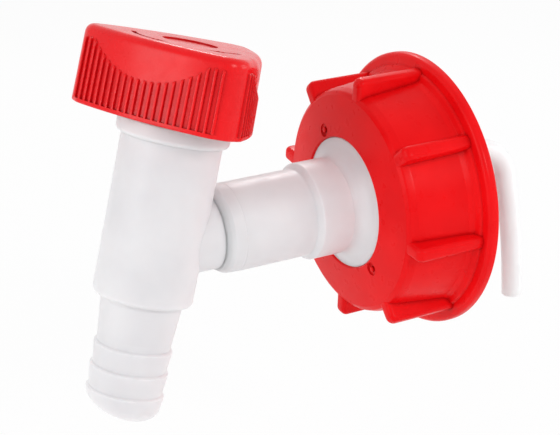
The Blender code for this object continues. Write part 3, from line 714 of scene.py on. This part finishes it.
# Neck gasket: a flat ring of black rubber, loose between the adapter's flange and the rim of the
# canister's neck, where the nut squeezes it.
gasket_thickness = 2.5
gasket_rounding = 0.3
gasket_play = 0.4
gasket_face = clamp_back + running_gap
gasket_back = gasket_face + gasket_thickness


def black_rubber(name):
    """Matt black rubber with a fine grain and dusty lighter patches."""
    material = bpy.data.materials.new(name)
    material.use_nodes = True
    tree = material.node_tree
    shader = tree.nodes["Principled BSDF"]
    dust = two_tone(tree, noise(tree, 160.0, 5.0), (0.018, 0.018, 0.019), (0.036, 0.035, 0.034))
    wire(tree, dust, shader.inputs["Base Color"])
    wire(tree, spread(tree, noise(tree, 420.0, 3.0), 0.55, 0.78), shader.inputs["Roughness"])
    roughen(tree, shader, [(noise(tree, 1800.0, 3.0), 0.00005, 0.5)])
    return material


gasket_inner = spigot_radius + gasket_play
gasket_outer = clamp_radius + gasket_play
gasket_corners = [(gasket_face, gasket_inner, gasket_rounding)]
gasket_corners += [(gasket_face, gasket_outer, gasket_rounding)]
gasket_corners += [(gasket_back, gasket_outer, gasket_rounding)]
gasket_corners += [(gasket_back, gasket_inner, gasket_rounding)]
gasket_bm = revolve(rounded(gasket_corners, 4, closed=True), "X", 128, closed=True)
gasket = make_piece("neck_gasket_ring", gasket_bm, along_pipe)
finish(gasket, "tap", "neck_gasket", black_rubber("gasket_black"))


# Air tube: extruded milky tube with a warm bend, pushed into the adapter's socket. Behind the nut it
# bends down, and its leg keeps a slight curve from the coil that it was cut from.
bend_start = 108.62
bend_radius = 10.7
bend_angle = math.radians(80.0)
leg_length = 41.3
leg_curve = math.radians(10.7)
end_length = 0.5
outer_ease = 0.35
inner_ease = 0.1
tube_start = socket_start + 0.6
along_tube = along_pipe @ Matrix.Translation(lift)


def drawn(bm, edges, vec, shrink=0.0):
    """Draws a ring of edges on by a vector, and makes it smaller or larger."""
    grown = bmesh.ops.extrude_edge_only(bm, edges=edges)["geom"]
    verts = [item for item in grown if isinstance(item, bmesh.types.BMVert)]
    middle = sum((vert.co for vert in verts), Vector()) / len(verts)
    for vert in verts:
        vert.co -= (vert.co - middle).normalized() * shrink
    bmesh.ops.translate(bm, verts=verts, vec=vec)
    fresh = set(verts)
    rims = [item for item in grown if isinstance(item, bmesh.types.BMEdge)]
    return [edge for edge in rims if fresh.issuperset(edge.verts)]


def swung(bm, edges, centre, angle, steps):
    """Swings a ring of edges round a centre, in the plane of the bend."""
    ring = edges + list({vert for edge in edges for vert in edge.verts})
    made = bmesh.ops.spin(bm, geom=ring, cent=centre, axis=(0.0, 1.0, 0.0), angle=angle, steps=steps)
    return [item for item in made["geom_last"] if isinstance(item, bmesh.types.BMEdge)]


def bent_skin(bm, radius, ease):
    """One skin of the tube, eased at both ends: straight, round the bend, then down its curved leg."""
    upright = Matrix.Translation((tube_start, 0.0, 0.0)) @ Matrix.Rotation(math.radians(90.0), 4, "Y")
    ring = bmesh.ops.create_circle(bm, segments=48, radius=radius - ease, matrix=upright)["verts"]
    first = list({edge for vert in ring for edge in vert.link_edges})
    edges = drawn(bm, first, (end_length, 0.0, 0.0), -ease)
    edges = drawn(bm, edges, (bend_start - tube_start - end_length, 0.0, 0.0))
    edges = swung(bm, edges, (bend_start, 0.0, -bend_radius), bend_angle, 20)
    inward = Vector((-math.sin(bend_angle), 0.0, -math.cos(bend_angle)))
    bend_end = Vector((bend_start, 0.0, -bend_radius)) - inward * bend_radius
    edges = swung(bm, edges, bend_end + inward * leg_length / leg_curve, leg_curve, 12)
    final = bend_angle + leg_curve
    down = Vector((math.cos(final), 0.0, -math.sin(final)))
    return first, drawn(bm, edges, down * end_length, ease)


tube_bm = bmesh.new()
outer_ends = bent_skin(tube_bm, vent_radius, outer_ease)
inner_ends = bent_skin(tube_bm, vent_radius - vent_wall, -inner_ease)
for outer_end, inner_end in zip(outer_ends, inner_ends):
    bmesh.ops.bridge_loops(tube_bm, edges=outer_end + inner_end)
tube = make_piece("air_tube", tube_bm, along_tube)
tube_white = milky_plastic("tube_white", (0.88, 0.89, 0.89), (0.92, 0.93, 0.93), 0.1, 0.001, 0.35)
finish(tube, "air_tube", "vent_tube", tube_white, 50.0)


# Knob: a red three-sided cap with ribbed grip sides. The ribs' tops follow a scooped thumb pad on
# each side, and the top carries a sunken disc between two turning arrows.
knob_low = 34.7
knob_top = 55.72
knob_lobe = 21.9
corner_radius = 6.5
side_radius = 70.0
knob_facing = 31.8
knob_draft = 0.5
top_rounding = 2.3
knob_wall = 2.4
knob_roof = 3.4
rib_count = 22
rib_height = 0.65
rib_overrun = 1.7
rib_low_share = 0.5
rib_high_gap = 0.9
rib_span = 0.86
rib_slope = 2.2
rib_end = 1.1
rib_ease = 0.9
lip_height = 1.2
lip_fade = 2.5
lip_rounding = 0.4
disc_radius = 7.6
mark_depth = 0.5
hub_radius = 8.2
hub_gap = 1.0
arrow_radius = 15.2
arrow_band = 1.4
arrow_barb = 0.9
arrow_head = math.radians(17.0)
arrows = ((152.0, 53.0), (304.0, -27.0))
stem_width = 9.0
stem_top = 50.0

# One rib and the groove beside it: the share of a pitch, and how far the surface has risen there.
rib_section = ((0.0, 0.0), (0.27, 0.0), (0.31, 0.5), (0.35, 0.92), (0.41, 1.0))
rib_section += ((0.59, 1.0), (0.65, 0.92), (0.69, 0.5), (0.73, 0.0))
side_columns = rib_count * len(rib_section)
corner_columns = 24
third_columns = side_columns + corner_columns
round_columns = 3 * third_columns
skirt_rows = 34
edge_rows = 9
rib_rows = 8
half_span = knob_lobe * math.sqrt(3.0) / 2
side_depth = math.sqrt((side_radius - corner_radius) ** 2 - half_span**2)
half_angle = math.atan2(half_span, side_depth)
corner_length = (math.tau / 3 - 2.0 * half_angle) * corner_radius
rise_end = knob_top - top_rounding


def knob_column(column):
    """Point and outward normal of a column, its rise, its ribs' top and how full its lip is.

    The band of ribs reaches a little way round both corners of its side."""
    third, step = divmod(column % round_columns, third_columns)
    facing = math.radians(knob_facing + 60.0 + 120.0 * third)
    side_length = 2.0 * half_angle * side_radius
    band = side_length + 2.0 * rib_overrun
    if step < side_columns:
        rib, part = divmod(step, len(rib_section))
        place, rise = rib_section[part]
        along = (rib + place) / rib_count * band - rib_overrun
        from_end = min(along + rib_overrun, side_length + rib_overrun - along)
        lip = min(1.0, from_end / lip_fade)
    else:
        rise = 0.0
        turned = (step - side_columns) / corner_columns
        along = side_length + rib_overrun + turned * (corner_length - 2.0 * rib_overrun)
        lip = 0.0
    share = min(1.0, max(0.0, along / side_length))
    past = max(0.0, along - side_length) + min(0.0, along)
    angle = facing + half_angle * (2.0 * share - 1.0) + past / corner_radius
    normal = Vector((math.cos(angle), math.sin(angle)))
    if past:
        corner = facing + math.copysign(math.pi / 3, past)
        spot = Vector((math.cos(corner), math.sin(corner))) * knob_lobe + normal * corner_radius
    else:
        middle = Vector((math.cos(facing), math.sin(facing))) * (knob_lobe / 2 - side_depth)
        spot = middle + normal * side_radius
    return spot, normal, rise, rib_arch(share), lip


def rib_arch(share):
    """Height of the ribs' tops at a share of a side: tall at its ends, low in its middle."""
    span = abs(2.0 * share - 1.0)
    low = knob_low + (knob_top - knob_low) * rib_low_share
    high = rise_end - rib_high_gap
    return low + (high - low) * min(1.0, (span / rib_span) ** rib_slope)


def skirt_station(row, arch):
    """Height of a row of the side: close rows at the lip and at the ribs' tops, even rows between."""
    lip_top = knob_low + lip_height
    marks = [knob_low, knob_low + 0.15, knob_low + lip_rounding]
    marks += [lip_top - 0.25, lip_top - 0.05, lip_top + 0.05]
    low = marks[-1]
    top = arch - rib_end
    marks += [low + (top - low) * k / rib_rows for k in range(1, rib_rows + 1)]
    marks += [arch - rib_end * (1.0 - k / rib_rows) ** 1.6 for k in range(1, rib_rows + 1)]
    left = skirt_rows + 1 - len(marks)
    marks += [arch + (rise_end - arch) * k / left for k in range(1, left + 1)]
    return marks[row]


def knob_skin(column, row):
    """A point of the knob's outside, from a column round it and a row up it."""
    spot, normal, rise, arch, lip = knob_column(column)
    if row <= skirt_rows:
        station = skirt_station(row, arch)
        above_foot = station - knob_low
        if above_foot < lip_height:
            trim = lip_rounding * (1.0 - min(1.0, above_foot / lip_rounding)) ** 2
            out = rib_height * lip - trim
        else:
            below = min(1.0, max(0.0, arch - station) / rib_ease)
            out = rib_height * rise * math.sqrt(1.0 - (1.0 - below) ** 2)
        out -= knob_draft * above_foot / (knob_top - knob_low)
    else:
        turn = math.radians(90.0 * (row - skirt_rows) / edge_rows)
        station = rise_end + top_rounding * math.sin(turn)
        out = -knob_draft - top_rounding * (1.0 - math.cos(turn))
    flat = spot + normal * out
    return Vector((flat.x, flat.y, station))


def arrow_outline(start, sweep):
    """A curved arrow about the knob's centre, from a start angle over a sweep, with a pointed head."""
    inner = arrow_radius - arrow_band / 2
    outer = arrow_radius + arrow_band / 2
    angles = [math.radians(start + sweep * i / 12) for i in range(13)]
    head = angles[-1]
    tip_angle = head + math.copysign(arrow_head, sweep)
    points = [(inner, angle) for angle in angles]
    points += [(inner - arrow_barb, head), (arrow_radius, tip_angle), (outer + arrow_barb, head)]
    points += [(outer, angle) for angle in reversed(angles)]
    return [(radius * math.cos(angle), radius * math.sin(angle)) for radius, angle in points]


def square_outline(width):
    """Corners of a square about the barrel's axis."""
    half = width / 2
    return [(-half, -half), (half, -half), (half, half), (-half, half)]


def prism(outline, low, high):
    """An outline of (x, y) points drawn up from one height to another."""
    bm = bmesh.new()
    face = bm.faces.new([bm.verts.new((x, y, low)) for x, y in outline])
    grown = bmesh.ops.extrude_face_region(bm, geom=[face])["geom"]
    moved = [item for item in grown if isinstance(item, bmesh.types.BMVert)]
    bmesh.ops.translate(bm, verts=moved, vec=(0.0, 0.0, high - low))
    bmesh.ops.recalc_face_normals(bm, faces=bm.faces)
    return bm


all_rows = skirt_rows + edge_rows
knob_bm = bmesh.new()
bmesh.ops.create_grid(knob_bm, x_segments=round_columns, y_segments=all_rows, size=0.5)
for vert in knob_bm.verts:
    column = round((vert.co.x + 0.5) * round_columns)
    row = round((vert.co.y + 0.5) * all_rows)
    vert.co = knob_skin(column, row)
bmesh.ops.remove_doubles(knob_bm, verts=knob_bm.verts, dist=0.0005)
rims = [edge for edge in knob_bm.edges if edge.is_boundary]
for height in (knob_low, knob_top):
    rim = [edge for edge in rims if abs(edge.verts[0].co.z - height) < 0.01]
    bmesh.ops.edgeloop_fill(knob_bm, edges=rim)
knob = make_piece("knob_moulding", knob_bm, along_barrel)

pocket_outline = []
for column in range(0, round_columns, len(rib_section)):
    spot, normal = knob_column(column)[:2]
    pocket_outline.append(tuple(spot - normal * knob_wall))
roof_low = knob_top - knob_roof
combine(knob, prism(pocket_outline, knob_low - overcut, roof_low), along_barrel)
hub_low = collar_top + hub_gap
combine(knob, rod(hub_radius, hub_low, roof_low + weld, steps=64), along_barrel, "UNION")
stem_hole = square_outline(stem_width + 2.0 * running_gap)
cuts = [prism(stem_hole, hub_low - overcut, stem_top + running_gap)]
cuts.append(rod(disc_radius, knob_top - mark_depth, knob_top + overcut))
for start, sweep in arrows:
    cuts.append(prism(arrow_outline(start, sweep), knob_top - mark_depth, knob_top + overcut))
combine(knob, joined(cuts), along_barrel)
knob_red = red_plastic("knob_red", (0.73, 0.003, 0.006), (0.81, 0.005, 0.008), 0.26, 0.25)
finish(knob, "valve", "knob", knob_red)


# Plug: the hollow valve plug that the knob turns. Its side port lets the water in, two rubber rings
# in its grooves seal it, and its square stem stands in the knob's hub.
port_radius = 6.0
plug_bore = 7.0
plug_bore_top = 11.0
seal_section = 0.8
seal_room = 0.3
seal_stations = (-8.2, 21.0)
plug_radius = barrel_bore - running_gap
plug_low = bore_floor + running_gap
plug_head_top = collar_top + 0.5
groove_radius = plug_radius - 2 * seal_section - running_gap

plug_corners = [(plug_low, 0.0, 0.0), (plug_low, plug_radius, 0.4)]
for station in seal_stations:
    half = seal_section + seal_room
    plug_corners += [(station - half, plug_radius, 0.1), (station - half, groove_radius, 0.1)]
    plug_corners += [(station + half, groove_radius, 0.1), (station + half, plug_radius, 0.1)]
plug_corners += [(plug_head_low - 1.2, plug_radius, 0.0), (plug_head_low, plug_radius + 0.4, 0.0)]
plug_corners += [(plug_head_low, plug_head_radius, 0.2), (plug_head_top, plug_head_radius, 0.5)]
plug_corners += [(plug_head_top, 0.0, 0.0)]
plug = make_piece("valve_plug", revolve(rounded(plug_corners, 4), steps=96), along_barrel)
combine(plug, prism(square_outline(stem_width), collar_top - weld, stem_top), along_barrel, "UNION")
combine(plug, rod(plug_bore, plug_low - overcut, plug_bore_top), along_barrel)
port = rod(port_radius, 0.0, plug_radius + overcut, "X", 64)
quarter_back = Matrix.Rotation(math.radians(-90.0), 3, "Z")
bmesh.ops.rotate(port, verts=port.verts, cent=(0, 0, 0), matrix=quarter_back)
combine(plug, port, along_barrel)
plug_white = milky_plastic("plug_white", (0.72, 0.72, 0.72), (0.78, 0.78, 0.775), 0.3, 0.003, 0.4)
finish(plug, "valve", "plug", plug_white)


# Plug seals: two moulded rings of black rubber that lie in the plug's grooves and wipe the bore.
# They turn with the plug and keep the water below the barrel's mouth.
seal_steps = 20
seal_ring = seal_section - 0.1
seal_black = black_rubber("seal_black")
seal_middle = (barrel_bore + groove_radius) / 2
for i, station in enumerate(seal_stations):
    ring_points = []
    for k in range(seal_steps):
        angle = math.tau * k / seal_steps
        across = seal_middle + seal_ring * math.sin(angle)
        ring_points.append((station + seal_ring * math.cos(angle), across))
    seal = make_piece(f"plug_ring_{i + 1}", revolve(ring_points, steps=96, closed=True), along_barrel)
    finish(seal, "valve", f"plug_seal_{i + 1}", seal_black)
